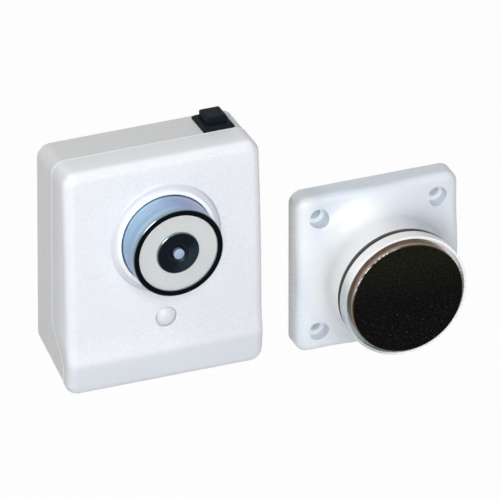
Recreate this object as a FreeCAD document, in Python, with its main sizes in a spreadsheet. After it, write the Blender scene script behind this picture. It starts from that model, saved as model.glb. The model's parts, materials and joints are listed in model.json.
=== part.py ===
import FreeCAD, Part
import math
import os
import Sketcher

# An electromagnetic door holder: a wall unit with a pot magnet and a release button, and the
# swivelling armature plate that the magnet holds. Sizes are in millimetres. Each body is drawn
# lying on its back: local X is across, local Y is up and local Z is the distance from the wall.

doc = FreeCAD.newDocument("door_holder")
sheet = doc.addObject("Spreadsheet::Sheet", "Sizes")
Vec = FreeCAD.Vector
FACING_ROOM = FreeCAD.Rotation(Vec(1, 0, 0), 90)
FACING_WALL = FreeCAD.Rotation(Vec(1, 0, 0), -90)
UPRIGHT = FreeCAD.Rotation()
NEAR = 0.3
parts = []


class Size:
    """A number together with the sheet expression that gives it."""

    def __init__(self, value, text):
        self.value = value
        self.text = text

    def join(self, other, sign, value):
        return Size(value, "(" + self.text + " " + sign + " " + size(other).text + ")")

    def __add__(self, other):
        return self.join(other, "+", self.value + size(other).value)

    def __sub__(self, other):
        return self.join(other, "-", self.value - size(other).value)

    def __mul__(self, other):
        return self.join(other, "*", self.value * size(other).value)

    def __truediv__(self, other):
        return self.join(other, "/", self.value / size(other).value)

    def __neg__(self):
        return self * -1


def size(number):
    return number if isinstance(number, Size) else Size(float(number), repr(float(number)))


def root(number):
    return Size(math.sqrt(number.value), "sqrt(" + number.text + ")")


def cell(name, number):
    row = len(cells) + 1
    cells.append(name)
    sheet.set("A" + str(row), name)
    sheet.set("B" + str(row), str(number))
    sheet.setAlias("B" + str(row), name)
    return Size(float(number), "Sizes." + name)


def bind(thing, path, number):
    thing.setExpression(path, size(number).text)


def new_body(label, x=0, depth=0, up=0, turn=FACING_ROOM):
    """An empty body at a place in the room: x across, depth out from the wall, up."""
    body = doc.addObject("PartDesign::Body", label)
    body.Label = label
    body.AllowCompound = True
    spot = Vec(size(x).value, -size(depth).value, size(up).value)
    body.Placement = FreeCAD.Placement(spot, turn)
    bind(body, "Placement.Base.x", x)
    bind(body, "Placement.Base.y", -size(depth))
    bind(body, "Placement.Base.z", up)
    parts.append(body)
    return body


def arc_between(start, end, radius, side):
    """The short arc from start to end, with its centre to the left (1) or right (-1) of the way."""
    chord = end - start
    left = Vec(-chord.y, chord.x, 0).normalize()
    rise = math.sqrt(radius ** 2 - (chord.Length / 2) ** 2)
    centre = start + chord * 0.5 + left * (rise * side)
    first, last = (start, end) if side > 0 else (end, start)
    angles = [math.atan2(p.y - centre.y, p.x - centre.x) for p in (first, last)]
    if angles[1] < angles[0]:
        angles[1] += 2 * math.pi
    return Part.ArcOfCircle(Part.Circle(centre, Vec(0, 0, 1), radius), angles[0], angles[1])


def fix_point(geometry, end, u, v, rules, sizes):
    for kind, number in (("DistanceX", u), ("DistanceY", v)):
        rules.append(Sketcher.Constraint(kind, -1, 1, geometry, end, size(number).value))
        sizes.append(number)


def draw(body, label, plane, loops, shift=0):
    """A fully dimensioned sketch. A loop is a circle (u, v, r) or a list of corner points.

    A point (u, v, r, side) starts an arc of radius r to the next point; (u, v) starts a line.
    """
    sketch = body.newObject("Sketcher::SketchObject", label)
    support = [o for o in body.Origin.OriginFeatures if o.Role == plane][0]
    sketch.AttachmentSupport = (support, [""])
    sketch.MapMode = "FlatFace"
    bind(sketch, "AttachmentOffset.Base.z", shift)
    shapes, rules, sizes = [], [], []
    for loop in loops:
        first = len(shapes)
        if isinstance(loop, tuple):
            u, v, radius = loop
            middle = Vec(size(u).value, size(v).value, 0)
            shapes.append(Part.Circle(middle, Vec(0, 0, 1), size(radius).value))
            fix_point(first, 3, u, v, rules, sizes)
            rules.append(Sketcher.Constraint("Radius", first, size(radius).value))
            sizes.append(radius)
            continue
        ends = []
        for i, point in enumerate(loop):
            after = loop[(i + 1) % len(loop)]
            start, end = [Vec(size(p[0]).value, size(p[1]).value, 0) for p in (point, after)]
            if len(point) == 4:
                shapes.append(arc_between(start, end, size(point[2]).value, point[3]))
                ends.append((1, 2) if point[3] > 0 else (2, 1))
                rules.append(Sketcher.Constraint("Radius", first + i, size(point[2]).value))
                sizes.append(point[2])
            else:
                shapes.append(Part.LineSegment(start, end))
                ends.append((1, 2))
        for i, point in enumerate(loop):
            j = (i + 1) % len(loop)
            rules.append(
                Sketcher.Constraint("Coincident", first + i, ends[i][1], first + j, ends[j][0])
            )
            sizes.append(None)
            fix_point(first + i, ends[i][0], point[0], point[1], rules, sizes)
    sketch.addGeometry(shapes, False)
    sketch.addConstraint(rules)
    for i, number in enumerate(sizes):
        if isinstance(number, Size):
            sketch.setExpression("Constraints[" + str(i) + "]", number.text)
    return sketch


def box(u_low, u_high, v_low, v_high):
    return [(u_low, v_low), (u_high, v_low), (u_high, v_high), (u_low, v_high)]


def feature(body, kind, label, sketch):
    made = body.newObject("PartDesign::" + kind, label)
    made.Profile = sketch
    sketch.Visibility = False
    return made


def pad(body, label, loops, start, length, plane="XY_Plane"):
    """Material from the sketch plane at start, along the plane's normal."""
    made = feature(body, "Pad", label, draw(body, label + "_sketch", plane, loops, start))
    bind(made, "Length", length)
    return made


def cut(body, label, loops, start, length, plane="XY_Plane"):
    """A pocket from the sketch plane at start, along the plane's normal."""
    made = feature(body, "Pocket", label, draw(body, label + "_sketch", plane, loops, start))
    made.Reversed = True
    bind(made, "Length", length)
    return made


def cut_across(body, label, loop, width):
    """A pocket right across the body, from a side view drawn as (up, depth) points."""
    made = feature(body, "Pocket", label, draw(body, label + "_sketch", "YZ_Plane", [loop]))
    made.SideType = "Symmetric"
    bind(made, "Length", width)
    return made


def turn(body, label, loop, kind="Revolution"):
    """A turned shape, or a turned cut, from (radius, depth) points."""
    made = feature(body, kind, label, draw(body, label + "_sketch", "XZ_Plane", [loop]))
    made.ReferenceAxis = (made.Profile[0], ["V_Axis"])
    made.Angle = 360
    return made


def soften(body, kind, label, radius, wanted):
    """Rounds or bevels the edges of the body so far that pass the test wanted(edge).

    The tests find edges by their middle, to within NEAR of a size.
    """
    doc.recompute()
    before = body.Tip
    edges = before.Shape.Edges
    names = ["Edge" + str(i + 1) for i, edge in enumerate(edges) if wanted(edge)]
    if not names:
        raise ValueError(label + " finds no edge")
    made = body.newObject("PartDesign::" + kind, label)
    made.Base = (before, names)
    bind(made, "Radius" if kind == "Fillet" else "Size", radius)
    return made


def repeat(body, label, originals, x_step, x_count, y_step=0, y_count=1):
    """Copies of features on a grid, across and then up."""
    made = body.newObject("PartDesign::LinearPattern", label)
    made.Originals = originals
    axes = {o.Role: o for o in body.Origin.OriginFeatures}
    made.Direction = (axes["X_Axis"], [""])
    made.Occurrences = x_count
    bind(made, "Length", size(x_step) * (x_count - 1))
    if y_count > 1:
        made.Direction2 = (axes["Y_Axis"], [""])
        made.Occurrences2 = y_count
        bind(made, "Length2", size(y_step) * (y_count - 1))
    body.Tip = made
    return made


def slotted_screw(body, head, head_high, shank, shank_long):
    """A cheese-head screw: seat at local zero, head towards +Z, shank towards -Z."""
    blank = turn(body, "blank", [
        (0, -shank_long), (shank - tip_bevel, -shank_long), (shank, tip_bevel - shank_long),
        (shank, 0), (head, 0), (head, head_high - tip_bevel), (head - tip_bevel, head_high),
        (0, head_high),
    ])
    slot = cut(body, "slot", [box(-head * 2, head * 2, -slot_width / 2, slot_width / 2)],
               head_high - slot_deep, slot_deep * 2)
    return [blank, slot]


def along(edge, axis):
    """True for a straight edge that runs mostly along a local axis (0 across, 1 up, 2 depth)."""
    span = edge.Vertexes[-1].Point - edge.Vertexes[0].Point
    straight = edge.Length - span.Length < 0.001
    return straight and abs(span[axis]) > 0.9 * edge.Length


cells = []
tip_bevel = cell("tip_bevel", 0.3)
slot_width = cell("slot_width", 0.9)
slot_deep = cell("slot_deep", 0.8)
overcut = cell("overcut", 5)
end_gap = cell("end_gap", 1)
play = cell("play", 0.05)

# Wall unit: outline of the housing. The front leans forward in a gentle curve from the top edge
# down to a waist and flares there into the chin. The underside drops towards the front, and the
# joint between base and cover runs forward along the lowest part of the sides.
house_width = cell("house_width", 88)
house_top = cell("house_top", 35.5)
house_low = cell("house_low", 90)
under_rear = cell("under_rear", 58.2)
under_drop = cell("under_drop", 0.294)
wall = cell("wall", 2.5)
joint_step = cell("joint_step", 0.25)
base_deep = cell("base_deep", 16.4)
skirt_deep = cell("skirt_deep", 29)
bend_high = cell("bend_high", 40)
bend_low = cell("bend_low", 54.7)
front_top = cell("front_top", 31.5)
front_low = cell("front_low", 35.3)
chin_deep = cell("chin_deep", 37)
foot_deep = cell("foot_deep", 34.2)
waist_high = cell("waist_high", 38)
chin_high = cell("chin_high", 52.5)
foot_high = cell("foot_high", 72)
chin_round = cell("chin_round", 9)
corner_round = cell("corner_round", 6)
under_round = cell("under_round", 5.6)
front_round = cell("front_round", 4.5)
inner_bevel = cell("inner_bevel", 2)
half_width = house_width / 2
side_slope = root(under_drop * under_drop + 1)


def level_arc(run, rise):
    """Radius of an arc that runs level at one end and ends at this run and rise."""
    return (run * run + rise * rise) / (rise * 2)


front_curve = level_arc(house_top + waist_high, front_low - front_top)
flare_curve = level_arc(chin_high - waist_high, chin_deep - front_low)


def half_chord(radius, offset):
    """Half the chord of a circle, at a distance from its centre."""
    return root(radius * radius - offset * offset)


def front_at(up):
    """Depth of the front's curve at a height above the waist."""
    return front_low - front_curve + half_chord(front_curve, waist_high + up)


def underside(depth, inset):
    """Height of the sloping underside, or of a face set in from it."""
    return inset * side_slope - under_rear - under_drop * depth


def below_underside(inset):
    return [
        (underside(-overcut, inset), -overcut), (underside(reach, inset), reach),
        (-house_low - overcut, reach), (-house_low - overcut, -overcut),
    ]


cover_deep = front_at(size(0))
reach = cover_deep + overcut * 2

# Places of the fixings inside the wall unit.
plate_back = cell("plate_back", 17)
plate_thick = cell("plate_thick", 2)
plate_hole_x = cell("plate_hole_x", 26)
plate_hole_y = cell("plate_hole_y", 14)
post_r = cell("post_r", 4)
plate_screw_r = cell("plate_screw_r", 1.5)
plate_screw_long = cell("plate_screw_long", 10)
board_x = cell("board_x", 19)
board_y = cell("board_y", 39)
board_hole_x = cell("board_hole_x", 7.5)
board_hole_y = cell("board_hole_y", 11)
board_back = cell("board_back", 9)
board_post_r = cell("board_post_r", 2.4)
board_screw_r = cell("board_screw_r", 1.2)
board_screw_long = cell("board_screw_long", 6)
cap_drop = cell("cap_drop", 37.2)
boss_back = cell("boss_back", 22)
cover_post_r = cell("cover_post_r", 4.5)
cover_screw_r = cell("cover_screw_r", 1.6)
cover_screw_long = cell("cover_screw_long", 16)
wall_hole_in = cell("wall_hole_in", 9)
wall_hole_high = cell("wall_hole_high", 14)
wall_hole_low = cell("wall_hole_low", 44)
wall_hole_r = cell("wall_hole_r", 2.5)
cable_x = cell("cable_x", 22)
cable_y = cell("cable_y", 40)
cable_hole_r = cell("cable_hole_r", 7)
button_in = cell("button_in", 12.6)
button_deep = cell("button_deep", 9.1)
button_half = cell("button_half", 6)
button_gap = cell("button_gap", 0.2)
wall_hole_x = half_width - wall_hole_in
button_x = half_width - button_in
button_up = house_top - joint_step
plate_spots = [(plate_hole_x * i, plate_hole_y * j) for i in (-1, 1) for j in (-1, 1)]
board_spots = [
    (-board_x + board_hole_x * i, -board_y + board_hole_y * j) for i in (-1, 1) for j in (-1, 1)
]

# Rear base: a tray with posts for the magnet plate, the circuit board and the cover screw. Its
# outside stands a small step inside the cover's, so that the cover's edge shows all round.
rear_base = new_body("rear_base")
base_half = half_width - joint_step
base_top = house_top - joint_step
pad(rear_base, "block", [box(-base_half, base_half, -house_low, base_top)], 0, skirt_deep)
cut_across(rear_base, "joint_cut", [
    (house_top + overcut, base_deep), (-bend_high, base_deep), (-bend_low, skirt_deep),
    (-bend_low, reach), (house_top + overcut, reach),
], house_width + overcut)
cut_across(rear_base, "underside_cut", below_underside(joint_step), house_width + overcut)
soften(rear_base, "Fillet", "top_corners", corner_round - joint_step,
       lambda e: along(e, 2) and e.CenterOfMass.y > house_top.value - NEAR)
soften(rear_base, "Fillet", "low_corners", under_round - joint_step,
       lambda e: along(e, 2) and abs(e.CenterOfMass.x) > half_width.value - NEAR
       and e.CenterOfMass.y < -under_rear.value)
cut_across(rear_base, "hollow", [
    (house_top - wall, wall), (house_top - wall, reach), (underside(reach, wall), reach),
    (underside(wall, wall), wall),
], house_width - wall * 2)
pad(rear_base, "plate_posts", [(x, y, post_r) for x, y in plate_spots],
    wall / 2, plate_back - wall / 2)
pad(rear_base, "board_posts", [(x, y, board_post_r) for x, y in board_spots],
    wall / 2, board_back - wall / 2)
pad(rear_base, "cover_post", [(0, -cap_drop, cover_post_r)], wall / 2, boss_back - wall / 2)
cut(rear_base, "plate_post_holes", [(x, y, plate_screw_r + play) for x, y in plate_spots],
    plate_back - plate_screw_long - play, plate_screw_long + overcut)
cut(rear_base, "board_post_holes", [(x, y, board_screw_r + play) for x, y in board_spots],
    board_back - board_screw_long, board_screw_long + overcut)
cut(rear_base, "cover_post_hole", [(0, -cap_drop, cover_screw_r + play)],
    boss_back - cover_screw_long, cover_screw_long + overcut)
cut(rear_base, "wall_holes",
    [(wall_hole_x * i, y, wall_hole_r) for i in (-1, 1) for y in (wall_hole_high, -wall_hole_low)],
    -overcut, overcut + wall * 2)
cut(rear_base, "cable_hole", [(cable_x, -cable_y, cable_hole_r)], -overcut, overcut + wall * 2)
opening = button_half + button_gap
cut(rear_base, "button_hole",
    [box(button_x - opening, button_x + opening, button_deep - opening, button_deep + opening)],
    -(house_top + overcut), overcut + wall + end_gap, "XZ_Plane")

# Front cover: leaning front with a chin, a raised collar round the magnet, and the screw well.
pot_r = cell("pot_r", 20)
collar_gap = cell("collar_gap", 0.4)
collar_rim = cell("collar_rim", 1.6)
collar_slope = cell("collar_slope", 2.6)
collar_high = cell("collar_high", 1.8)
collar_sink = cell("collar_sink", 0.65)
collar_tilt = cell("collar_tilt", 3)
well_r = cell("well_r", 4.6)
well_deep = cell("well_deep", 2)
well_bevel = cell("well_bevel", 0.4)
head_well_r = cell("head_well_r", 3.75)
head_seat = cell("head_seat", 26)
boss_r = cell("boss_r", 6.4)
collar_in = pot_r + collar_gap
collar_flat = collar_in + collar_rim
collar_out = collar_flat + collar_slope
collar_mid = collar_flat + collar_slope / 2
collar_step = collar_slope / 2
collar_rise = collar_high + collar_sink
collar_curve = (collar_step * collar_step + collar_rise * collar_rise / 4) / collar_rise
cap_face = front_at(-cap_drop)

front_cover = new_body("front_cover")
pad(front_cover, "block", [box(-half_width, half_width, -house_low, house_top)],
    base_deep, reach - base_deep)
cut_across(front_cover, "joint_cut", [
    (-bend_high, base_deep), (-bend_low, skirt_deep), (-house_low - overcut, skirt_deep),
    (-house_low - overcut, base_deep - overcut), (-bend_high, base_deep - overcut),
], house_width + overcut)
cut_across(front_cover, "front_cut", [
    (house_top + overcut, front_top), (house_top, front_top, front_curve, 1),
    (-waist_high, front_low, flare_curve, -1), (-chin_high, chin_deep), (-foot_high, foot_deep),
    (-house_low - overcut, foot_deep), (-house_low - overcut, reach * 2),
    (house_top + overcut, reach * 2),
], house_width + overcut)
cut_across(front_cover, "underside_cut", below_underside(size(0)), house_width + overcut)
soften(front_cover, "Fillet", "chin_bend", chin_round,
       lambda e: along(e, 0) and abs(e.CenterOfMass.y + chin_high.value) < NEAR
       and e.CenterOfMass.z > chin_deep.value - NEAR)
soften(front_cover, "Fillet", "top_corners", corner_round,
       lambda e: along(e, 2) and e.CenterOfMass.y > house_top.value - NEAR)
soften(front_cover, "Fillet", "low_corners", under_round,
       lambda e: along(e, 2) and e.CenterOfMass.y < -under_rear.value
       and e.CenterOfMass.z > skirt_deep.value)
soften(front_cover, "Fillet", "front_edge", front_round,
       lambda e: along(e, 0) and e.CenterOfMass.y > house_top.value - NEAR
       and e.CenterOfMass.z > front_top.value - NEAR)
cut_across(front_cover, "hollow", [
    (house_top - wall, base_deep - overcut), (house_top - wall, front_top - wall - inner_bevel),
    (house_top - wall - inner_bevel, front_top - wall), (-waist_high, front_low - wall),
    (-chin_high, chin_deep - wall),
    (underside(foot_deep - wall, wall), foot_deep - wall),
    (underside(base_deep - overcut, wall), base_deep - overcut),
], house_width - wall * 2)
collar = turn(front_cover, "collar", [
    (pot_r, -wall / 2), (collar_out, -wall / 2), (collar_out, -collar_sink, collar_curve, 1),
    (collar_mid, collar_rise / 2 - collar_sink, collar_curve, -1), (collar_flat, collar_high),
    (pot_r, collar_high),
])
leaning = FreeCAD.Rotation(Vec(-1, 0, 0), collar_tilt.value)
collar.Profile[0].AttachmentOffset = FreeCAD.Placement(Vec(0, cover_deep.value, 0), leaning)
bind(collar.Profile[0], "AttachmentOffset.Base.y", cover_deep)
bind(collar.Profile[0], "AttachmentOffset.Rotation.Angle", collar_tilt)
cut(front_cover, "magnet_hole", [(0, 0, collar_in)], base_deep, reach)
pad(front_cover, "screw_boss", [(0, -cap_drop, boss_r)], boss_back, cap_face - wall / 2 - boss_back)
cut(front_cover, "screw_hole", [(0, -cap_drop, cover_screw_r + play * 4)], boss_back - end_gap, reach)
cut(front_cover, "head_well", [(0, -cap_drop, head_well_r)], head_seat, reach)
cut(front_cover, "cap_well", [(0, -cap_drop, well_r)], cap_face - well_deep, reach)
soften(front_cover, "Chamfer", "well_edge", well_bevel,
       lambda e: e.CenterOfMass.z > cap_face.value - NEAR
       and abs(e.CenterOfMass.y + cap_drop.value) < well_r.value
       and abs(e.CenterOfMass.x) < well_r.value)

# Cover screw, and the domed cap that hides it.
cover_head_r = cell("cover_head_r", 3.5)
cover_head_high = cell("cover_head_high", 3)
cap_r = cell("cap_r", 4.1)
cap_stem = cell("cap_stem", 2.2)
cap_edge = cell("cap_edge", 1)
cap_dome = cell("cap_dome", 1.6)
cover_screw = new_body("cover_screw", 0, head_seat, -cap_drop)
slotted_screw(cover_screw, cover_head_r, cover_head_high, cover_screw_r,
              cover_screw_long + head_seat - boss_back - end_gap)
screw_cap = new_body("screw_cap", 0, cap_face - well_deep, -cap_drop)
cap_curve = (cap_r * cap_r + cap_dome * cap_dome) / (cap_dome * 2)
turn(screw_cap, "cap", [
    (0, -cap_stem), (head_well_r - play, -cap_stem), (head_well_r - play, 0), (cap_r, 0),
    (cap_r, cap_edge, cap_curve, 1), (0, cap_edge + cap_dome),
])

# Magnet: a turned steel pot with its core, held by one screw on a plate across four posts.
plate_half_x = cell("plate_half_x", 31)
plate_half_y = cell("plate_half_y", 19)
plate_screw_head = cell("plate_screw_head", 3)
plate_screw_high = cell("plate_screw_high", 2.2)
core_screw_r = cell("core_screw_r", 2.5)
core_screw_head = cell("core_screw_head", 4.2)
core_screw_high = cell("core_screw_high", 3.5)
core_screw_long = cell("core_screw_long", 13)
pot_long = cell("pot_long", 30)
pot_wall = cell("pot_wall", 2.44)
pot_floor = cell("pot_floor", 5)
pot_edge = cell("pot_edge", 0.35)
core_r = cell("core_r", 9.45)
core_edge = cell("core_edge", 0.4)
guide_r = cell("guide_r", 4.4)
guide_long = cell("guide_long", 4.6)
spring_well_r = cell("spring_well_r", 3.6)
spring_well_long = cell("spring_well_long", 10)
pot_bore = pot_r - pot_wall
pot_back = plate_back + plate_thick
pole_face = pot_back + pot_long
guide_back = pole_face - guide_long
spring_floor = guide_back - spring_well_long

mounting_plate = new_body("mounting_plate", 0, plate_back, 0)
pad(mounting_plate, "sheet", [
    box(-plate_half_x, plate_half_x, -plate_half_y, plate_half_y), (0, 0, core_screw_r + play * 4),
] + [(x, y, plate_screw_r + play * 4) for x, y in plate_spots], 0, plate_thick)
plate_screws = new_body("plate_screws", -plate_hole_x, pot_back, -plate_hole_y)
one_screw = slotted_screw(plate_screws, plate_screw_head, plate_screw_high, plate_screw_r,
                          plate_screw_long + plate_thick - play * 2)
repeat(plate_screws, "four", one_screw, plate_hole_x * 2, 2, plate_hole_y * 2, 2)
magnet_fixing_screw = new_body("magnet_fixing_screw", 0, plate_back, 0, FACING_WALL)
slotted_screw(magnet_fixing_screw, core_screw_head, core_screw_high, core_screw_r, core_screw_long)

magnet_pot = new_body("magnet_pot", 0, 0, 0)
thread_end = plate_back + core_screw_long + play * 4
turn(magnet_pot, "pot", [
    (core_screw_r + play, pot_back), (pot_r - pot_edge, pot_back), (pot_r, pot_back + pot_edge),
    (pot_r, pole_face - pot_edge), (pot_r - pot_edge, pole_face),
    (pot_bore, pole_face), (pot_bore, pot_back + pot_floor), (core_r, pot_back + pot_floor),
    (core_r, pole_face - core_edge), (core_r - core_edge, pole_face), (guide_r, pole_face),
    (guide_r, guide_back), (spring_well_r, guide_back), (spring_well_r, spring_floor),
    (0, spring_floor), (0, thread_end), (core_screw_r + play, thread_end),
])

# Coil: bobbin, copper winding and the resin ring that seals it just below the pole faces.
coil_gap = cell("coil_gap", 0.1)
bobbin_wall = cell("bobbin_wall", 1.2)
winding_gap = cell("winding_gap", 0.6)
seal_drop = cell("seal_drop", 0.9)
seal_thick = cell("seal_thick", 1.8)
coil_back = pot_back + pot_floor
coil_front = pole_face - seal_drop - seal_thick
coil_in = core_r + coil_gap
coil_out = pot_bore - coil_gap
coil_bobbin = new_body("coil_bobbin", 0, 0, 0)
turn(coil_bobbin, "bobbin", [
    (coil_in, coil_back), (coil_out, coil_back), (coil_out, coil_back + bobbin_wall),
    (coil_in + bobbin_wall, coil_back + bobbin_wall),
    (coil_in + bobbin_wall, coil_front - bobbin_wall), (coil_out, coil_front - bobbin_wall),
    (coil_out, coil_front), (coil_in, coil_front),
])
coil_winding = new_body("coil_winding", 0, 0, 0)
turn(coil_winding, "winding", box(coil_in + bobbin_wall, coil_out - winding_gap,
                                  coil_back + bobbin_wall, coil_front - bobbin_wall))
seal_ring = new_body("seal_ring", 0, 0, 0)
turn(seal_ring, "ring", box(core_r + play, pot_bore - play, coil_front, coil_front + seal_thick))

# Kick-off pin: a sprung brass pin in the core that pushes the armature off when the coil is off.
pin_r = cell("pin_r", 2.3)
pin_collar = cell("pin_collar", 3.3)
pin_collar_long = cell("pin_collar_long", 1.8)
pin_stub = cell("pin_stub", 1.6)
pin_stub_long = cell("pin_stub_long", 2.4)
pin_proud = cell("pin_proud", 1)
pin_tip = cell("pin_tip", 0.3)
guide_bore = cell("guide_bore", 2.45)
dish_edge = cell("dish_edge", 0.1)
dish_deep = cell("dish_deep", 0.9)
wire_r = cell("wire_r", 0.25)
pin_spring_r = cell("pin_spring_r", 2.6)
pin_turns = cell("pin_turns", 4)
pin_back = guide_back - pin_collar_long
pin_front = pole_face + pin_proud
tip_curve = (pin_r * pin_r + pin_tip * pin_tip) / (pin_tip * 2)
pin_guide = new_body("pin_guide", 0, 0, 0)
turn(pin_guide, "guide", [
    (guide_bore, guide_back), (guide_r - play, guide_back), (guide_r - play, pole_face - dish_edge),
    (guide_bore, pole_face - dish_deep),
])
kick_off_pin = new_body("kick_off_pin", 0, 0, 0)
turn(kick_off_pin, "pin", [
    (0, pin_back - pin_stub_long), (pin_stub, pin_back - pin_stub_long), (pin_stub, pin_back),
    (pin_collar, pin_back), (pin_collar, guide_back), (pin_r, guide_back),
    (pin_r, pin_front - pin_tip, tip_curve, 1), (0, pin_front),
])


def coil_spring(body, radius, turns, length):
    """A compression spring of square wire between its two seats."""
    wire = draw(body, "wire", "XZ_Plane",
                [box(radius - wire_r, radius + wire_r, 0, wire_r * 2)])
    made = feature(body, "AdditiveHelix", "helix", wire)
    made.ReferenceAxis = (wire, ["V_Axis"])
    made.Mode = "height-turns-angle"
    bind(made, "Height", length - wire_r * 2)
    bind(made, "Turns", turns)
    return made


pin_spring = new_body("pin_spring", 0, spring_floor, 0)
coil_spring(pin_spring, pin_spring_r, pin_turns, spring_well_long - pin_collar_long)

# Circuit board on the lower left of the base, with its terminal block and the suppressor diode.
board_half_x = cell("board_half_x", 10)
board_half_y = cell("board_half_y", 14)
board_thick = cell("board_thick", 1.6)
board_head_r = cell("board_head_r", 2.2)
board_head_high = cell("board_head_high", 1.4)
block_half_x = cell("block_half_x", 8)
block_half_y = cell("block_half_y", 4.5)
block_high = cell("block_high", 10)
block_pitch = cell("block_pitch", 5.2)
block_low = cell("block_low", 2.5)
entry_half = cell("entry_half", 1.5)
entry_deep = cell("entry_deep", 6)
entry_low = cell("entry_low", 1.5)
terminal_r = cell("terminal_r", 1.6)
terminal_high = cell("terminal_high", 2)
terminal_sink = cell("terminal_sink", 3)
diode_r = cell("diode_r", 1.4)
diode_half = cell("diode_half", 2.6)
diode_up = cell("diode_up", 5.5)
lead_r = cell("lead_r", 0.4)
lead_half = cell("lead_half", 5)
lead_lift = cell("lead_lift", 1.8)
board_front = board_back + board_thick
circuit_board = new_body("circuit_board", -board_x, board_back, -board_y)
pad(circuit_board, "board", [
    box(-board_half_x, board_half_x, -board_half_y, board_half_y),
] + [(board_hole_x * i, board_hole_y * j, board_screw_r + play * 2) for i in (-1, 1)
     for j in (-1, 1)], 0, board_thick)
board_screws = new_body("board_screws", -board_x - board_hole_x, board_front,
                        -board_y - board_hole_y)
one_screw = slotted_screw(board_screws, board_head_r, board_head_high, board_screw_r,
                          board_screw_long + board_thick - play * 2)
repeat(board_screws, "four", one_screw, board_hole_x * 2, 2, board_hole_y * 2, 2)
terminal_block = new_body("terminal_block", -board_x, board_front, -board_y - block_low)
columns = [block_pitch * i for i in (-1, 0, 1)]
pad(terminal_block, "block", [box(-block_half_x, block_half_x, -block_half_y, block_half_y)],
    0, block_high)
cut(terminal_block, "screw_wells", [(x, 0, terminal_r + play) for x in columns],
    block_high - terminal_sink, terminal_sink + overcut)
cut(terminal_block, "wire_entries",
    [box(x - entry_half, x + entry_half, entry_low, entry_low + entry_half * 2) for x in columns],
    block_half_y - entry_deep, entry_deep + overcut, "XZ_Plane")
terminal_screws = new_body("terminal_screws", -board_x - block_pitch,
                           board_front + block_high - terminal_sink, -board_y - block_low)
stub = turn(terminal_screws, "stub", box(0, terminal_r, 0, terminal_high))
stub_slot = cut(terminal_screws, "slot",
                [box(-terminal_r * 2, terminal_r * 2, -slot_width / 2, slot_width / 2)],
                terminal_high - slot_deep, slot_deep * 2)
repeat(terminal_screws, "three", [stub, stub_slot], block_pitch, 3)
suppressor_diode = new_body("suppressor_diode", -board_x, board_front, -board_y + diode_up)
pad(suppressor_diode, "diode", [(0, lead_lift, diode_r)], -diode_half, diode_half * 2, "YZ_Plane")
pad(suppressor_diode, "lead", [(0, lead_lift, lead_r)], -lead_half, lead_half * 2, "YZ_Plane")
pad(suppressor_diode, "legs", [((lead_half - lead_r) * i, 0, lead_r) for i in (-1, 1)],
    0, lead_lift)

# Rubber grommet in the cable entry at the back.
grommet_r = cell("grommet_r", 9)
grommet_thick = cell("grommet_thick", 2)
grommet_bore = cell("grommet_bore", 4)
cable_grommet = new_body("cable_grommet", cable_x, 0, -cable_y)
turn(cable_grommet, "grommet", [
    (grommet_bore, 0), (cable_hole_r - play, 0), (cable_hole_r - play, wall), (grommet_r, wall),
    (grommet_r, wall + grommet_thick), (grommet_bore, wall + grommet_thick),
])

# Release button on the top: these bodies stand upright on the top face of the base.
flange_half = cell("flange_half", 6.9)
flange_high = cell("flange_high", 2)
flange_bevel = cell("flange_bevel", 1)
shell_down = cell("shell_down", 14)
shell_floor = cell("shell_floor", 1.6)
stop_down = cell("stop_down", 0.5)
mouth_half = cell("mouth_half", 4.75)
room_half = cell("room_half", 5.2)
cap_half = cell("cap_half", 4.5)
skirt_half = cell("skirt_half", 4.9)
cap_up = cell("cap_up", 5.3)
cap_bevel = cell("cap_bevel", 0.6)
skirt_top = cell("skirt_top", 0.6)
skirt_down = cell("skirt_down", 4.5)
bridge_thick = cell("bridge_thick", 0.5)
bridge_half_x = cell("bridge_half_x", 4.7)
bridge_half_y = cell("bridge_half_y", 1.2)
blade_x = cell("blade_x", 4)
blade_half_x = cell("blade_half_x", 0.4)
blade_half_y = cell("blade_half_y", 1.1)
blade_top = cell("blade_top", 7.9)
blade_down = cell("blade_down", 16.4)
button_spring_r = cell("button_spring_r", 2.6)
button_turns = cell("button_turns", 4)


def square(half):
    return box(-half, half, -half, half)


def blades(gap):
    return [box(x - blade_half_x - gap, x + blade_half_x + gap, -blade_half_y - gap,
                blade_half_y + gap) for x in (-blade_x, blade_x)]


button_bezel = new_body("button_bezel", button_x, button_deep, button_up, UPRIGHT)
pad(button_bezel, "flange", [square(flange_half)], 0, flange_high)
soften(button_bezel, "Chamfer", "flange_bevel", flange_bevel,
       lambda e: e.CenterOfMass.z > flange_high.value - NEAR)
pad(button_bezel, "shell", [square(button_half)], -shell_down, shell_down + flange_high / 2)
cut(button_bezel, "room", [square(room_half)], shell_floor - shell_down,
    shell_down - shell_floor - stop_down)
cut(button_bezel, "mouth", [square(mouth_half)], -stop_down - end_gap, reach)
cut(button_bezel, "blade_slots", blades(play), -shell_down - end_gap, shell_floor * 2)
button_cap = new_body("button_cap", button_x, button_deep, button_up, UPRIGHT)
pad(button_cap, "key", [square(cap_half)], -skirt_down, skirt_down + cap_up)
soften(button_cap, "Chamfer", "key_bevel", cap_bevel,
       lambda e: e.CenterOfMass.z > cap_up.value - NEAR)
pad(button_cap, "skirt", [square(skirt_half)], -skirt_down, skirt_down - skirt_top)
contact_bridge = new_body("contact_bridge", button_x, button_deep, button_up, UPRIGHT)
pad(contact_bridge, "bridge",
    [box(-bridge_half_x, bridge_half_x, -bridge_half_y, bridge_half_y)],
    -skirt_down - bridge_thick, bridge_thick)
contact_blades = new_body("contact_blades", button_x, button_deep, button_up, UPRIGHT)
pad(contact_blades, "blades", blades(0), -blade_down, blade_down - blade_top)
button_spring = new_body("button_spring", button_x, button_deep,
                         button_up - shell_down + shell_floor, UPRIGHT)
coil_spring(button_spring, button_spring_r, button_turns,
            shell_down - shell_floor - skirt_down - bridge_thick)

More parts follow.
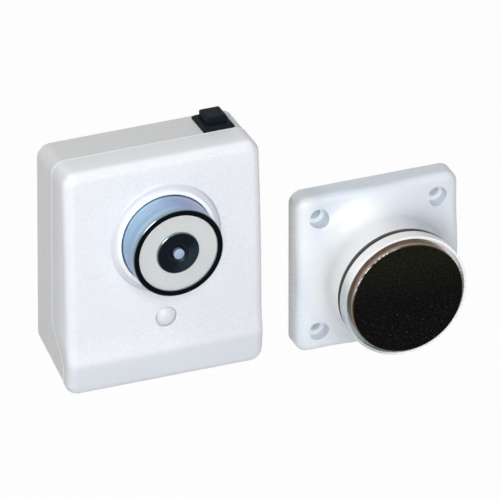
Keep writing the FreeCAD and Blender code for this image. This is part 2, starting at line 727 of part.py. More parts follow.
# Keeper: a square plate whose flared tower carries the armature on a ball joint, with a dark
# rubber washer on the tower's end.
disc_r = cell("disc_r", 25)
holder_gap = cell("holder_gap", 1.6)
holder_wall = cell("holder_wall", 1.1)
tower_inset = cell("tower_inset", 0.3)
keeper_x = cell("keeper_x", 105.5)
keeper_drop = cell("keeper_drop", 45.9)
keeper_half = cell("keeper_half", 36.5)
keeper_thick = cell("keeper_thick", 10)
keeper_corner = cell("keeper_corner", 5.5)
keeper_edge = cell("keeper_edge", 3.5)
keeper_hole_in = cell("keeper_hole_in", 9.75)
keeper_hole_r = cell("keeper_hole_r", 2.4)
keeper_sink_r = cell("keeper_sink_r", 4.3)
keeper_sink = cell("keeper_sink", 5)
keeper_boss_r = cell("keeper_boss_r", 6)
keeper_core_deep = cell("keeper_core_deep", 27.5)
tower_top = cell("tower_top", 32.5)
tower_curve = cell("tower_curve", 12)
washer_thick = cell("washer_thick", 0.6)
washer_hole = cell("washer_hole", 9)
ball_deep = cell("ball_deep", 28.5)
ball_r = cell("ball_r", 4.8)
liner_in = cell("liner_in", 4.9)
liner_out = cell("liner_out", 6)
socket_r = cell("socket_r", 6.1)
liner_low = cell("liner_low", 3)
liner_high = cell("liner_high", 2.8)
socket_mouth = cell("socket_mouth", 4.2)
plug_r = cell("plug_r", 12)
plug_front = cell("plug_front", 27.7)
plug_seat = cell("plug_seat", 12)
plug_flange_r = cell("plug_flange_r", 18.5)
plug_flange = cell("plug_flange", 2.5)
keeper_well_r = cell("keeper_well_r", 19)
plug_screw_x = cell("plug_screw_x", 15.3)
plug_screw_r = cell("plug_screw_r", 1.4)
plug_screw_long = cell("plug_screw_long", 10)
plug_head_r = cell("plug_head_r", 2.6)
plug_head_high = cell("plug_head_high", 2.2)
holder_in = disc_r + holder_gap
holder_r = holder_in + holder_wall
tower_r = holder_r - tower_inset
tower_foot = tower_r + tower_curve
keeper_hole = keeper_half - keeper_hole_in
core_in = keeper_well_r + wall
keeper_spots = [(keeper_hole * i, keeper_hole * j) for i in (-1, 1) for j in (-1, 1)]

keeper_base = new_body("keeper_base", keeper_x, 0, -keeper_drop)
pad(keeper_base, "block", [square(keeper_half)], 0, tower_top)
soften(keeper_base, "Fillet", "corners", keeper_corner, lambda e: along(e, 2))
turn(keeper_base, "flare", [
    (tower_r, tower_top + overcut), (tower_r, keeper_thick + tower_curve, tower_curve, 1),
    (tower_foot, keeper_thick), (keeper_half * 2, keeper_thick),
    (keeper_half * 2, tower_top + overcut),
], "Groove")
plate_rim = keeper_half - keeper_corner
soften(keeper_base, "Fillet", "front_edge", keeper_edge,
       lambda e: max(abs(e.CenterOfMass.x), abs(e.CenterOfMass.y)) > plate_rim.value
       and keeper_thick.value - NEAR < e.CenterOfMass.z < tower_top.value - NEAR)
cut(keeper_base, "plate_core", [square(keeper_half - wall), (0, 0, core_in)]
    + [(x, y, keeper_boss_r) for x, y in keeper_spots], 0, keeper_thick - wall)
cut(keeper_base, "tower_core", [(0, 0, tower_r - wall), (0, 0, core_in)], 0, keeper_core_deep)
mouth_up = half_chord(socket_r, socket_mouth)
seam = plug_front + play * 2 - ball_deep
turn(keeper_base, "socket", [
    (0, -overcut), (keeper_well_r, -overcut), (keeper_well_r, plug_seat), (plug_r + play, plug_seat),
    (plug_r + play, ball_deep + seam), (half_chord(socket_r, seam), ball_deep + seam, socket_r, 1),
    (socket_mouth, ball_deep + mouth_up), (socket_mouth, tower_top + overcut),
    (0, tower_top + overcut),
], "Groove")
cut(keeper_base, "plug_screw_holes",
    [(plug_screw_x * i, 0, plug_screw_r + play) for i in (-1, 1)], plug_seat, plug_screw_long)
cut(keeper_base, "fixing_holes", [(x, y, keeper_hole_r) for x, y in keeper_spots], -overcut, reach)
cut(keeper_base, "head_sinks", [(x, y, keeper_sink_r) for x, y in keeper_spots],
    keeper_thick - keeper_sink, reach)

swivel_washer = new_body("swivel_washer", keeper_x, tower_top, -keeper_drop)
pad(swivel_washer, "washer", [(0, 0, tower_r), (0, 0, washer_hole)], 0, washer_thick)
retaining_plug = new_body("retaining_plug", keeper_x, 0, -keeper_drop)
plug_cup = plug_front - ball_deep
turn(retaining_plug, "plug", [
    (0, plug_seat - plug_flange), (plug_flange_r, plug_seat - plug_flange),
    (plug_flange_r, plug_seat), (plug_r, plug_seat), (plug_r, plug_front),
    (half_chord(socket_r, plug_cup), plug_front, socket_r, -1), (0, ball_deep - socket_r),
])
cut(retaining_plug, "screw_holes",
    [(plug_screw_x * i, 0, plug_screw_r + play * 4) for i in (-1, 1)], 0, plug_seat + end_gap)
retaining_screws = new_body("retaining_screws", keeper_x - plug_screw_x, plug_seat - plug_flange,
                            -keeper_drop, FACING_WALL)
one_screw = slotted_screw(retaining_screws, plug_head_r, plug_head_high, plug_screw_r,
                          plug_screw_long + plug_flange - play * 4)
repeat(retaining_screws, "pair", one_screw, plug_screw_x * 2, 2)

# Armature: the ball stud, the ring-shaped holder and the steel disc that meets the magnet.
neck_r = cell("neck_r", 2.5)
shoulder_r = cell("shoulder_r", 4.4)
shoulder_back = cell("shoulder_back", 34.1)
holder_back = cell("holder_back", 35.5)
holder_floor = cell("holder_floor", 1.5)
holder_front = cell("holder_front", 40.3)
disc_thick = cell("disc_thick", 6)
disc_edge = cell("disc_edge", 0.35)
thread_long = cell("thread_long", 4)
disc_back = holder_back + holder_floor
disc_front = disc_back + disc_thick
ball_liner = new_body("ball_liner", keeper_x, ball_deep, -keeper_drop)
turn(ball_liner, "liner", [
    (half_chord(liner_in, liner_low), -liner_low),
    (half_chord(liner_out, liner_low), -liner_low, liner_out, 1),
    (half_chord(liner_out, liner_high), liner_high),
    (half_chord(liner_in, liner_high), liner_high, liner_in, -1),
])
ball_stud = new_body("ball_stud", keeper_x, ball_deep, -keeper_drop)
turn(ball_stud, "stud", [
    (0, -ball_r, ball_r, 1), (ball_r, 0, ball_r, 1), (neck_r, half_chord(ball_r, neck_r)),
    (neck_r, shoulder_back - ball_deep), (shoulder_r, shoulder_back - ball_deep),
    (shoulder_r, holder_back - ball_deep), (neck_r, holder_back - ball_deep),
    (neck_r, disc_back + thread_long - ball_deep), (0, disc_back + thread_long - ball_deep),
])
disc_holder = new_body("disc_holder", keeper_x, 0, -keeper_drop)
turn(disc_holder, "holder", [
    (neck_r + play, holder_back), (holder_r, holder_back), (holder_r, holder_front),
    (holder_in, holder_front), (holder_in, disc_back), (neck_r + play, disc_back),
])
armature_disc = new_body("armature_disc", keeper_x, 0, -keeper_drop)
turn(armature_disc, "disc", [
    (neck_r + play, disc_back), (disc_r, disc_back), (disc_r, disc_front - disc_edge),
    (disc_r - disc_edge, disc_front), (0, disc_front), (0, disc_back + thread_long + play * 2),
    (neck_r + play, disc_back + thread_long + play * 2),
])

# Every object is checked before anything is written.
doc.recompute()
for thing in doc.Objects:
    faults = [word for word in thing.State if word in ("Error", "Invalid", "Touched")]
    if faults:
        raise ValueError(thing.Name + " is " + ", ".join(faults))
for body in parts:
    if body.Shape.isNull() or not body.Shape.isValid():
        raise ValueError(body.Label + " has no valid shape")
os.makedirs("parts", exist_ok=True)
for body in parts:
    body.Shape.exportStep("parts/" + body.Label + ".step")
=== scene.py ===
import json
import math

import bmesh
import bpy
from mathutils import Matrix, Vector

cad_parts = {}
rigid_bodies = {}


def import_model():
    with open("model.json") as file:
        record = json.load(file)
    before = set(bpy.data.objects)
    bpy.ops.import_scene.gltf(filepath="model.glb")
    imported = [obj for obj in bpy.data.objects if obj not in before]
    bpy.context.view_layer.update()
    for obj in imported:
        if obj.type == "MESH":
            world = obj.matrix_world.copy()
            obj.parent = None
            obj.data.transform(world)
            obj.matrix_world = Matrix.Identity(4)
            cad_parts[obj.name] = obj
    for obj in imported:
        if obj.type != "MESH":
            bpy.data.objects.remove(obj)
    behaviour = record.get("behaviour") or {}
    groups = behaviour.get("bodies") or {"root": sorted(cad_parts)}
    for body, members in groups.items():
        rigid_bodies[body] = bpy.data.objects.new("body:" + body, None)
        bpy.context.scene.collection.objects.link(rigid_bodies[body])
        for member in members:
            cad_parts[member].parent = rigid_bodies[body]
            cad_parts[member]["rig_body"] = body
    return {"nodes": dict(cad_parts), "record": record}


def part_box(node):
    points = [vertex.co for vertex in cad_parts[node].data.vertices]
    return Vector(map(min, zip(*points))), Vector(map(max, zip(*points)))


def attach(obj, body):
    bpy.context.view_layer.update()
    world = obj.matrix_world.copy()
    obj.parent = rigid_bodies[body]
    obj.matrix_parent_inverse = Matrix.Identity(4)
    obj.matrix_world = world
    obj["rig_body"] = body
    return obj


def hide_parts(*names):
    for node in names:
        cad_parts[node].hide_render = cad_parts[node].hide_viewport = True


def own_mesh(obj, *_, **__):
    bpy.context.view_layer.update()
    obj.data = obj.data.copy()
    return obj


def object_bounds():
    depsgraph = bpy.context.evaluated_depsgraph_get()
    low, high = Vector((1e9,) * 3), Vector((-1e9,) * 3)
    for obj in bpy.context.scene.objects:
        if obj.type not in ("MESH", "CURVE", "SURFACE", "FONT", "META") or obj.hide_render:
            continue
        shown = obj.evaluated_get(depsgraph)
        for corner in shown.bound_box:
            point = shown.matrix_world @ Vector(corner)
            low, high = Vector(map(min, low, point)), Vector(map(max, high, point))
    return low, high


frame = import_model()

cad_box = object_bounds()
nodes = frame["nodes"]


# Rear base: the moulded ABS tray that is screwed to the wall and carries everything else.
# Its outside has the fine spark-eroded grain of the mould, and its colour is a cool white.
class Wire:
    """A shader value that can be added, multiplied and so on like a number."""

    def __init__(self, board, socket):
        self.board = board
        self.socket = socket

    def maths(self, operation, first, second):
        return self.board.add("ShaderNodeMath", {"operation": operation}, {0: first, 1: second})

    def __add__(self, other):
        return self.maths("ADD", self, other)

    def __radd__(self, other):
        return self.maths("ADD", other, self)

    def __sub__(self, other):
        return self.maths("SUBTRACT", self, other)

    def __rsub__(self, other):
        return self.maths("SUBTRACT", other, self)

    def __mul__(self, other):
        return self.maths("MULTIPLY", self, other)

    def __rmul__(self, other):
        return self.maths("MULTIPLY", other, self)

    def __truediv__(self, other):
        return self.maths("DIVIDE", self, other)


class Board:
    """A node tree, with one method that adds any node to it."""

    def __init__(self, tree):
        self.tree = tree

    def add(self, kind, settings, sockets, output=0):
        node = self.tree.nodes.new(kind)
        for key, value in settings.items():
            setattr(node, key, value)
        for key, value in sockets.items():
            if isinstance(value, Wire):
                self.tree.links.new(value.socket, node.inputs[key])
            else:
                node.inputs[key].default_value = value
        return Wire(self, node.outputs[output])


mm = 0.001


class Finish(Board):
    """A material with one Principled surface, and the patterns that its finishes are made of."""

    def __init__(self, name, **plain):
        self.material = bpy.data.materials.new(name)
        self.material.use_nodes = True
        super().__init__(self.material.node_tree)
        self.surface = self.tree.nodes["Principled BSDF"]
        for socket, value in plain.items():
            self.surface.inputs[socket.replace("_", " ")].default_value = value
        self.spot = self.add("ShaderNodeTexCoord", {}, {}, "Object")

    def split(self, centre=(0, 0, 0)):
        """How far the shaded point lies to the right of, behind and above a centre."""
        first = self.add("ShaderNodeSeparateXYZ", {}, {0: self.spot})
        outputs = first.socket.node.outputs
        return [Wire(self, socket) - start for socket, start in zip(outputs, centre)]

    def noise(self, grain, detail=2.0, spot=None):
        """Soft noise from 0 to 1 whose patches are about grain millimetres across."""
        sockets = {"Vector": spot or self.spot, "Scale": 1 / (grain * mm), "Detail": detail}
        return self.add("ShaderNodeTexNoise", {}, sockets, "Fac")

    def mix(self, share, first, second):
        """The first colour where share is 0, the second where it is 1."""
        first, second = [c if isinstance(c, Wire) else (*c, 1) for c in (first, second)]
        colour_sockets = {0: share, 6: first, 7: second}
        return self.add("ShaderNodeMix", {"data_type": "RGBA"}, colour_sockets, 2)

    def step(self, value, low, high):
        """0 at low, 1 at high, smooth between. It falls where low is the larger one."""
        return self.add("ShaderNodeMapRange", {"interpolation_type": "SMOOTHSTEP"},
                        {"Value": value, "From Min": low, "From Max": high})

    def ramp(self, place, low, high):
        """A step along a distance, between two places in millimetres."""
        return self.step(place, low * mm, high * mm)

    def bump(self, height, depth, strength):
        """Relief of a depth in millimetres."""
        return self.add("ShaderNodeBump", {},
                        {"Height": height, "Distance": depth * mm, "Strength": strength})

    def feed(self, **wires):
        for socket, wire in wires.items():
            self.tree.links.new(wire.socket, self.surface.inputs[socket.replace("_", " ")])
        return self.material


def moulded(name, colour, grain, depth, gloss, shine=0.5, local=None):
    """Textured plastic: a fine grain in the skin and faint clouds in the colour.

    A function local(finish, tint) may change the tint at places of the piece.
    """
    finish = Finish(name, Specular_IOR_Level=shine)
    clouds = finish.noise(20, 3)
    skin = finish.noise(grain, 3)
    speck = finish.step(finish.noise(1.7 * grain), 0.36, 0.64)
    darker = [0.93 * part for part in colour]
    lighter = [min(1, 1.03 * part) for part in colour]
    tint = finish.mix(0.3 * clouds + 0.7 * speck, darker, lighter)
    if local:
        tint = local(finish, tint)
    return finish.feed(Base_Color=tint, Roughness=gloss + 0.12 * skin,
                       Normal=finish.bump(skin, depth, 0.6))


weld_gap, sharp_edge = 0.001 * mm, math.radians(30)


def shown(node, material):
    """A node's own mesh with its facets joined and shaded smooth, in a finish of its own."""
    mesh = nodes[node].data.copy()
    mesh.attributes.remove(mesh.attributes["custom_normal"])
    form = bmesh.new()
    form.from_mesh(mesh)
    bmesh.ops.remove_doubles(form, verts=form.verts, dist=weld_gap)
    form.to_mesh(mesh)
    form.free()
    mesh.shade_smooth()
    mesh.set_sharp_from_angle(angle=sharp_edge)
    mesh.materials.clear()
    mesh.materials.append(material)
    piece = bpy.data.objects.new(node + "_skin", mesh)
    bpy.context.scene.collection.objects.link(piece)
    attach(piece, nodes[node]["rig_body"])
    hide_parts(node)
    return piece


def past_joint(finish):
    """Distance in front of the joint with the cover, which bends forward low on the sides."""
    deep, up = finish.split()[1:]
    bend_starts, bend_ends = 40 * mm, 54.7 * mm
    joint_above, joint_below = 16.4 * mm, 29 * mm
    joint = finish.add("ShaderNodeMapRange", {}, {
        "Value": -1 * up, "From Min": bend_starts, "From Max": bend_ends,
        "To Min": joint_above, "To Max": joint_below})
    return -1 * deep - joint


def shadow_line(finish, tint):
    joint_grey = (0.60, 0.60, 0.61)
    line = finish.ramp(past_joint(finish), -0.7, -0.2)
    return finish.mix(0.55 * line, tint, joint_grey)


house_grain, house_depth, house_gloss = 0.45, 0.08, 0.40
shown("rear_base", moulded("base_white", (0.76, 0.76, 0.765), house_grain, house_depth,
                           house_gloss, local=shadow_line))

# Steel fixings: the magnet's plate and all the screws, with the one into the core and the one
# that holds the cover. They are stamped or turned steel, zinc plated bright.
bright_zinc = Finish("bright_zinc", Metallic=1.0)
grit = bright_zinc.noise(0.4)
bright_zinc.feed(
    Base_Color=bright_zinc.mix(bright_zinc.noise(6), (0.50, 0.51, 0.53), (0.66, 0.67, 0.68)),
    Roughness=0.26 + 0.18 * grit, Normal=bright_zinc.bump(grit, 0.02, 0.4))
for node in ("mounting_plate", "plate_screws", "magnet_fixing_screw", "board_screws",
             "terminal_screws", "cover_screw", "retaining_screws"):
    shown(node, bright_zinc.material)


# Circuit board with its terminal block and diode: lacquered glass epoxy, a green moulded block
# and a small black epoxy body. They sit in the lower left of the tray.
def bands(finish, direction, scale, distortion=0.0):
    """Even bands from 0 to 1, as of a weave or of wound wire."""
    return finish.add("ShaderNodeTexWave", {"wave_type": "BANDS", "bands_direction": direction},
                      {"Vector": finish.spot, "Scale": scale, "Distortion": distortion}, "Fac")


lacquer = Finish("board_lacquer", Coat_Weight=0.4)
weave = bands(lacquer, "DIAGONAL", 600, 2)
lacquer.feed(Base_Color=lacquer.mix(weave, (0.02, 0.16, 0.07), (0.03, 0.21, 0.10)),
             Roughness=0.32 + 0.1 * weave)
shown("circuit_board", lacquer.material)
fine_grain, fine_depth = 0.3, 0.02
shown("terminal_block",
      moulded("terminal_green", (0.06, 0.30, 0.17), fine_grain, fine_depth, 0.28))
shown("suppressor_diode",
      moulded("diode_epoxy", (0.03, 0.03, 0.032), fine_grain, fine_depth, 0.35))

# Cable grommet: a soft ring moulded from black rubber. It is pushed into the hole in the back of
# the tray from inside, up to its flange.
shown("cable_grommet", moulded("grommet_rubber", (0.035, 0.035, 0.036), 0.6, 0.04, 0.62))


# Magnet pot: turned from one bar with its core, and blue zinc plated. The sides keep the fine
# rings of the lathe, and the pole faces are ground to a mirror that is coloured near black as a
# painted reflection of a dark room. The sides carry painted reflection, highlight and glint.
def from_axis(finish, across, up):
    """Distance from the axis that across and up are measured from."""
    return finish.add("ShaderNodeMath", {"operation": "SQRT"}, {0: across * across + up * up})


def tool_rings(finish, radius, drift=0):
    """Rings from -1 to 1 that a tool leaves on a turned face, here and there out of step."""
    radians_per_metre = 9000
    return finish.add("ShaderNodeMath", {"operation": "SINE"},
                      {0: radius * radians_per_metre + drift})


pole_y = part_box("magnet_pot")[0].y
# Pot colours: the violet, the pale blue and the pale foot are painted reflection and highlight on
# the sides.
blue, reflection_violet, highlight_blue = (0.285, 0.385, 0.545), (0.28, 0.325, 0.50), (0.33, 0.48, 0.63)
floor_reflection_pale, streak_sparkle_pale, grey_band = (0.76, 0.80, 1.0), (0.62, 0.74, 0.82), (0.30, 0.37, 0.39)
bevel_dark, glint_white = (0.09, 0.15, 0.18), (0.85, 0.90, 0.92)
# Painted reflection: the pole faces are coloured near black, the outer pole darker still, as if
# they mirrored a dark room.
dark_reflection_black, outer_reflection_black = (0.009, 0.0125, 0.0165), (0.0045, 0.006, 0.0078)
blue_sheen = (0.034, 0.048, 0.070)
plating = Finish("blue_zinc", Metallic=1.0)
across, deep, up = plating.split()
behind_pole = deep - pole_y
radius = from_axis(plating, across, up)
haze = 0.2 * plating.noise(12)
towards_light = (up * 0.75 - across * 0.66) / radius
upper_left = towards_light + haze - 0.1

squeeze = 0.02
along_rings = plating.add(
    "ShaderNodeCombineXYZ", {}, {"Y": deep, "X": across * squeeze, "Z": up * squeeze})
lathe = plating.noise(0.9, 3, along_rings)
# Painted reflection and highlight on the sides: violet towards the right, pale blue towards the
# upper left, and a pale painted reflection of the floor underneath.
to_right = plating.ramp(across * 0.8 + up * 0.4 + 0.02 * haze, -16, 14)
side_tint = plating.mix(to_right, blue, reflection_violet)
side_tint = plating.mix(plating.step(upper_left, 0.5, 1.0), side_tint, highlight_blue)
underside = plating.ramp(up, -8, -18)
side_tint = plating.mix(underside, side_tint, floor_reflection_pale)
# Lathe streaks, made brighter towards the upper left as painted sparkle.
lathe_sparkle = plating.step(lathe, 0.42, 0.66) * (0.08 + 0.3 * plating.step(upper_left, 0.75, 1.0))
side_tint = plating.mix(lathe_sparkle, side_tint, streak_sparkle_pale)
past_band = plating.ramp(behind_pole, 0.9, 2.4)
side_tint = plating.mix(past_band, grey_band, side_tint)
# Painted glint: the bevel turns near white where it faces the upper left.
glint = plating.step(towards_light, 0.97, 0.998)
bevel_tint = plating.mix(glint, bevel_dark, glint_white)
past_bevel = plating.ramp(behind_pole, 0.34, 0.46)
side_tint = plating.mix(past_bevel, bevel_tint, side_tint)

# Painted sheen: the inner pole face lightens towards the lower right in the tool's rings, and the
# outer pole keeps its darker painted reflection.
lower_right = plating.step((across * 0.8 - up * 0.6) / radius, 0.2, 1.0)
sheen = lower_right * (0.55 + 0.45 * tool_rings(plating, radius, 6 * haze))
face_tint = plating.mix(sheen, dark_reflection_black, blue_sheen)
outer_pole = plating.ramp(radius, 12, 14)
face_tint = plating.mix(outer_pole, face_tint, outer_reflection_black)
past_face = plating.ramp(behind_pole, 0.02, 0.12)
plating.feed(Base_Color=plating.mix(past_face, face_tint, side_tint),
             Roughness=0.13 + past_face * (0.14 + 0.10 * lathe),
             Normal=plating.bump(lathe, 0.04, 0.5))
shown("magnet_pot", plating.material)

# Coil: a moulded nylon bobbin wound with enamelled copper wire. It is pushed into the pot round
# the core and sealed between the poles with a ring of pale cast resin.
shown("coil_bobbin", moulded("bobbin_nylon", (0.62, 0.58, 0.46), 0.4, fine_depth, 0.4))
copper = Finish("enamelled_copper", Metallic=1.0, Coat_Weight=0.5)
turns = bands(copper, "Y", 700)
copper.feed(Base_Color=copper.mix(turns, (0.30, 0.11, 0.05), (0.62, 0.28, 0.13)),
            Roughness=0.3 + 0.1 * turns, Normal=copper.bump(turns, 0.1, 0.6))
shown("coil_winding", copper.material)
shown("seal_ring", moulded("cast_resin", (0.645, 0.665, 0.66), fine_grain, fine_depth, 0.36))

# Kick-off pin, its guide and its spring: a turned pin that stands a little proud of the core, in
# a guide whose dish keeps the rings of the tool and is coloured near black like the pole faces,
# as a painted reflection of a dark room.
guide_black = Finish("guide_black", Metallic=1.0)
across, _, up = guide_black.split()
rings = tool_rings(guide_black, from_axis(guide_black, across, up))
guide_black.feed(
    Base_Color=guide_black.mix(0.5 + 0.5 * rings, dark_reflection_black, (0.020, 0.027, 0.034)),
    Roughness=0.25 + 0.06 * rings)
shown("pin_guide", guide_black.material)
pin_metal = Finish("pin_metal", Metallic=0.6, Specular_IOR_Level=0.2)
worn = pin_metal.noise(0.6, 3)
pin_metal.feed(Base_Color=pin_metal.mix(worn, (0.32, 0.42, 0.55), (0.38, 0.48, 0.62)),
               Roughness=0.42 + 0.15 * worn)
shown("kick_off_pin", pin_metal.material)
wire_steel = Finish("spring_wire", Metallic=1.0)
drawn = wire_steel.noise(0.5)
wire_steel.feed(Base_Color=wire_steel.mix(drawn, (0.32, 0.32, 0.33), (0.46, 0.46, 0.47)),
                Roughness=0.3 + 0.15 * drawn)
travel = {joint["name"]: joint["range_m"][1]
          for joint in frame["record"]["behaviour"]["joints"] if "range_m" in joint}


def spring(node, joint, axis, seat):
    """A coil of wire, shown in its own copy of the mesh."""
    low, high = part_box(node)
    length = (high - low).dot(Vector(axis))
    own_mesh(shown(node, wire_steel.material), joint, axis=axis, anchor=seat,
              keep=1 - travel[joint] / length)


spring("pin_spring", "pin_push", (0, 1, 0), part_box("pin_spring")[1])

# Release button: a black moulded bezel in the top of the base, with a square key on a spring.
# Brass contacts sit below it.
key_black = moulded("key_black", (0.0048, 0.0075, 0.0125), 0.5, 0.04, 0.5, 0.09)
shown("button_bezel", key_black)
shown("button_cap", key_black)
spring("button_spring", "button_press", (0, 0, 1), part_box("button_spring")[0])
brass = Finish("contact_brass", Metallic=1.0)
tarnish = brass.noise(3, 3)
brass.feed(Base_Color=brass.mix(tarnish, (0.50, 0.36, 0.14), (0.72, 0.55, 0.25)),
           Roughness=0.25 + 0.2 * tarnish)
shown("contact_bridge", brass.material)
shown("contact_blades", brass.material)


# Front cover and the domed cap over its screw: ABS mouldings in a cooler white than the base. The
# cover's colour carries painted light and shade: a painted highlight on the collar's top and
# along the edge that meets the base, painted shade on the collar's slope, the chin and the left
# side, a lighter top, and a painted shadow at the collar's foot on the right.
def cover_light_and_shade(finish, tint):
    # Painted light and shade: a lighter top and a shaded left side, both changing towards the
    # front, and a shaded chin.
    top_lit_back, top_lit_front = (0.87, 0.875, 0.90), (0.93, 0.935, 0.96)
    left_shade_back, left_shade_front = (0.745, 0.75, 0.775), (0.86, 0.865, 0.90)
    bright, chin_shade, slope_shade = (1, 1, 1), (0.73, 0.748, 0.80), (0.63, 0.64, 0.70)
    foot_shadow = (0.42, 0.43, 0.48)
    across, deep, up = finish.split()
    from_joint = past_joint(finish)
    near_front = finish.ramp(from_joint, 3, 15)
    chin = finish.ramp(up, -50, -54.5)
    tint = finish.mix(chin, tint, chin_shade)
    top = finish.ramp(up, 33.5, 35.3)
    tint = finish.mix(top, tint, finish.mix(near_front, top_lit_back, top_lit_front))
    left_side = finish.ramp(across, -41.5, -43.5)
    tint = finish.mix(left_side, tint, finish.mix(near_front, left_shade_back, left_shade_front))

    # Painted highlight on the collar's top, painted shade on its slope, and a painted shadow at
    # its foot on the right.
    crown, foot = 22.4, 25.2
    radius = from_axis(finish, across, up)
    raised = finish.ramp(-1 * deep, 32.5, 33.5)
    collar_top = finish.ramp(radius, crown, crown - 0.8) * raised
    tint = finish.mix(collar_top, tint, bright)
    inside_foot = finish.ramp(radius, foot, foot - 1.2)
    slope = finish.ramp(radius, crown - 0.6, crown + 0.6) * inside_foot * raised
    tint = finish.mix(0.8 * slope, tint, slope_shade)
    inside_line = finish.ramp(radius, foot, foot - 0.6)
    foot_line = finish.ramp(radius, foot - 1.6, foot - 1.0) * inside_line * raised
    right_side = finish.ramp(across, 10, 22)
    tint = finish.mix(0.6 * foot_line * right_side, tint, foot_shadow)

    # Painted highlight along the edge that meets the base.
    joint_edge = finish.ramp(from_joint, 1.3, 0.9)
    return finish.mix(joint_edge, tint, bright)


shown("front_cover", moulded("cover_white", (0.828, 0.838, 0.875), house_grain, house_depth,
                             house_gloss, local=cover_light_and_shade))
shown("screw_cap", moulded("cap_white", (0.765, 0.77, 0.81), fine_grain, fine_depth, 0.30))

# Door plate: a square moulding in a bluer, smoother white than the housing, with a flared tower
# and a dark rubber washer on the tower's end. A plug of acetal is screwed in from behind, and
# holds the liner and the steel stud of the ball joint.
keeper_low, keeper_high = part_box("keeper_base")
keeper_mid = (keeper_low + keeper_high) / 2
keeper_axis = (keeper_mid.x, 0, keeper_mid.z)
half_width = keeper_mid.x - keeper_low.x


def plate_light_and_shade(finish, tint):
    # Painted light and shade: a lighter upper left corner, a painted highlight on the flare's
    # upper left, and painted shade where the flare rises on the upper right, towards the bottom,
    # towards the right and on the left rim.
    corner_light, flare_highlight = (0.93, 0.955, 0.985), (0.97, 0.99, 1.0)
    rise_shade, bottom_shade, right_shade = (0.74, 0.79, 0.86), (0.77, 0.81, 0.86), (0.77, 0.81, 0.87)
    left_rim_shade = (0.66, 0.66, 0.64)
    across, deep, up = finish.split(keeper_axis)
    radius = from_axis(finish, across, up)
    corner = finish.ramp(-1 * across, 26, 34) * finish.ramp(up, -20, 26)
    rise = finish.ramp(radius, 28, 33) * finish.ramp(up - across, 16, 34) * (1 - corner)
    tint = finish.mix(0.9 * rise, tint, rise_shade)
    tint = finish.mix(corner, tint, corner_light)
    flare = finish.ramp(radius, 36, 27) * finish.ramp(0.4 * up - 0.9 * across, -2, 20)
    tint = finish.mix(flare, tint, flare_highlight)
    foot = finish.ramp(up, -16, -32)
    tint = finish.mix(foot, tint, bottom_shade)
    right_side = finish.ramp(across + 0.6 * up, 8, 38)
    tint = finish.mix(right_side, tint, right_shade)
    left_rim = finish.ramp(across + half_width, 1.2, 0.4) * finish.ramp(deep, -6.5, -1)
    return finish.mix(left_rim, tint, left_rim_shade)


shown("keeper_base", moulded("plate_white", (0.80, 0.84, 0.90), 0.4, 0.03, 0.22, 0.45,
                             plate_light_and_shade))
shown("swivel_washer", moulded("washer_rubber", (0.135, 0.115, 0.095), 0.5, 0.04, 0.6, 0.3))
acetal = moulded("acetal", (0.74, 0.74, 0.72), 0.5, fine_depth, 0.35)
shown("retaining_plug", acetal)
shown("ball_liner", acetal)
shown("ball_stud", bright_zinc.material)


# Disc holder: the ring behind the armature disc, moulded in a glossier white than the plate. It
# sits on the ball stud and tilts with the disc.
def ring_shade_tints(finish, tint):
    # Painted shade: the ring turns grey towards the lower left.
    shaded = (0.48, 0.55, 0.56)
    across, _, up = finish.split(keeper_axis)
    lower_left = finish.ramp(-1 * across - 0.5 * up, 14, 26)
    return finish.mix(lower_left, tint, shaded)


shown("disc_holder", moulded("ring_white", (0.98, 0.985, 1.0), fine_grain, fine_depth, 0.12, 0.9,
                             ring_shade_tints))

# Armature disc: turned steel, its face plated and lapped to a mirror, coloured near black as a
# painted reflection of a dark room, with a few flecks; its narrow bevel has painted glints in
# places. The side is coloured a dull brown.
disc_low, disc_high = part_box("armature_disc")
disc_mid = (disc_low + disc_high) / 2
# The face is coloured near black as a painted reflection of a dark room.
deep_black, soft_black = (0.0004, 0.0004, 0.0010), (0.0115, 0.011, 0.0115)
reflection_olive, fleck_grey = (0.017, 0.019, 0.010), (0.042, 0.046, 0.060)
edge_brown, bevel_glint_bright, lip_brown = (0.13, 0.075, 0.04), (0.95, 0.93, 0.90), (0.52, 0.465, 0.39)
dark_brown, light_brown = (0.22, 0.155, 0.115), (0.30, 0.225, 0.18)
lapped = Finish("lapped_plate")
across, behind_face, up = lapped.split((disc_mid.x, disc_low.y, disc_mid.z))
smear = lapped.noise(1, 5)
cloud = lapped.step(smear, 0.12, 0.88)
dark = lapped.mix(cloud, deep_black, soft_black)
# Painted reflection: an olive tint in the clouds of the upper half.
upper_half = lapped.ramp(up, -4, 20)
dark = lapped.mix(upper_half * cloud, dark, reflection_olive)
lower_half = lapped.ramp(up, 10, -14)
fleck = lapped.step(lapped.noise(0.8, 1), 0.66, 0.76) * lower_half
dark = lapped.mix(fleck, dark, fleck_grey)

# Painted glint: the bevel turns near white in broken patches towards the upper left.
lit = lapped.ramp(up * 0.72 - across * 0.69, 19, 24.3)
broken = lapped.step(lapped.noise(1.6), 0.40, 0.60)
bevel = lapped.mix(lit * broken, edge_brown, bevel_glint_bright)
brown = lapped.mix(lapped.noise(2, 3), dark_brown, light_brown)
past_lip = lapped.ramp(behind_face, 1.0, 2.2)
brown = lapped.mix(past_lip, lip_brown, brown)
side = lapped.ramp(behind_face, 0.34, 0.6)
edge = lapped.mix(side, bevel, brown)
past_face = lapped.ramp(behind_face, 0.02, 0.10)
lapped.feed(Base_Color=lapped.mix(past_face, dark, edge), Metallic=1 - 0.7 * side,
            Roughness=0.10 + 0.08 * smear)
shown("armature_disc", lapped.material)


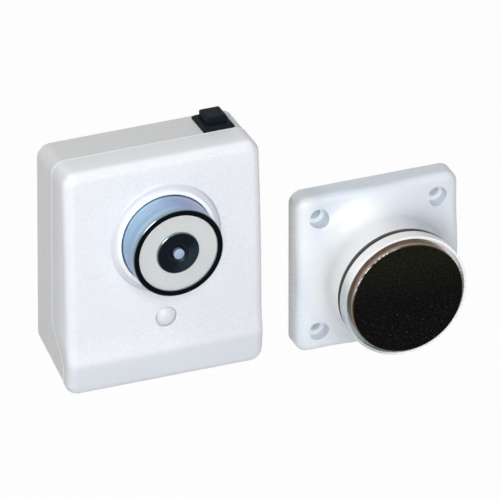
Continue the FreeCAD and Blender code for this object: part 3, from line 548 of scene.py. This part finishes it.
# Stage: a floor of pale paper well below the set, under an even white sky. Both are white to the
# camera and in reflections, and the floor keeps a trace of the shadow.
def seen_plainly(board):
    """1 for rays from the camera, from gloss and through glass, 0 for the light that falls."""
    seen = board.add("ShaderNodeLightPath", {}, {}, "Is Camera Ray")
    rays = seen.socket.node.outputs
    for ray in ("Is Glossy Ray", "Is Transmission Ray"):
        seen = seen.maths("MAXIMUM", seen, Wire(board, rays[ray]))
    return seen


floor_half, floor_drop, plain_share, fill = 3.0, 80 * mm, 0.97, 0.11
paper = Finish("floor_paper", Base_Color=(0.78, 0.78, 0.78, 1), Roughness=1.0,
               Specular_IOR_Level=0.0)
glow = paper.add("ShaderNodeEmission", {}, {"Strength": 1.0})
blend = paper.add("ShaderNodeMixShader", {}, {
    "Fac": plain_share * seen_plainly(paper), 1: Wire(paper, paper.surface.outputs[0]), 2: glow})
paper.tree.links.new(blend.socket, paper.tree.nodes["Material Output"].inputs["Surface"])
ground = bmesh.new()
bmesh.ops.create_grid(ground, x_segments=1, y_segments=1, size=floor_half)
bmesh.ops.translate(ground, verts=ground.verts, vec=(0, 0, cad_box[0].z - floor_drop))
floor_mesh = bpy.data.meshes.new("floor")
ground.to_mesh(floor_mesh)
ground.free()
floor_mesh.materials.append(paper.material)
floor = bpy.data.objects.new("floor", floor_mesh)
bpy.context.scene.collection.objects.link(floor)

sky = bpy.data.worlds.new("studio")
bpy.context.scene.world = sky
sky.use_nodes = True
dome = Board(sky.node_tree)
soft = dome.add("ShaderNodeBackground", {}, {
    "Color": (1, 1, 1, 1), "Strength": fill + (1 - fill) * seen_plainly(dome)})
dome.tree.links.new(soft.socket, dome.tree.nodes["World Output"].inputs["Surface"])


# Softboxes: round lamps turned to the middle of the set. A wide one stands in front, a smaller
# one hangs above on the left, and a low one behind lifts the back without a gloss on the rims.
def softbox(name, spot, width, watts, colour):
    lamp = bpy.data.lights.new(name, "AREA")
    lamp.color = colour
    lamp.shape = "DISK"
    lamp.size = width
    lamp.energy = watts
    box = bpy.data.objects.new(name, lamp)
    box.location = spot
    box.rotation_euler = (middle - Vector(spot)).to_track_quat("-Z", "Y").to_euler()
    bpy.context.scene.collection.objects.link(box)
    return box


middle = (cad_box[0] + cad_box[1]) / 2
white_light = (1.0, 1.0, 1.0)
softbox("front_box", (-0.30, -1.80, 0.85), 1.4, 30.5, (0.97, 0.99, 1.0))
softbox("top_box", (-0.85, -0.17, 1.15), 0.45, 8, white_light)
back_box = softbox("back_box", (1.00, 1.70, -0.01), 0.28, 10, white_light)
back_box.visible_glossy = False

# Camera: in front of the set, above it and to its left, with a long lens. It is placed from the
# pixel at which the middle of the pole face lies.
turn, tilt = math.radians(21.9), math.radians(28.57)
image_px, focal_px, px_per_metre = 500, 20000.0, 2410.0
pole_px = Vector((178.6, 253.4))
sensor_mm, far_end = 36, 50
forward = Vector((math.sin(turn) * math.cos(tilt), math.cos(turn) * math.cos(tilt),
                  -math.sin(tilt)))
right = Vector((math.cos(turn), -math.sin(turn), 0))
above = right.cross(forward)
to_middle = (Vector((image_px / 2, image_px / 2)) - pole_px) / px_per_metre
target = Vector((0, pole_y, 0)) + right * to_middle.x - above * to_middle.y
lens = bpy.data.cameras.new("camera")
lens.sensor_width = sensor_mm
lens.lens = focal_px / image_px * sensor_mm
lens.clip_end = far_end
camera = bpy.data.objects.new("camera", lens)
camera.location = target - forward * (focal_px / px_per_metre)
camera.rotation_euler = forward.to_track_quat("-Z", "Y").to_euler()
bpy.context.scene.collection.objects.link(camera)
bpy.context.scene.camera = camera
bpy.context.scene.view_settings.view_transform = "Standard"
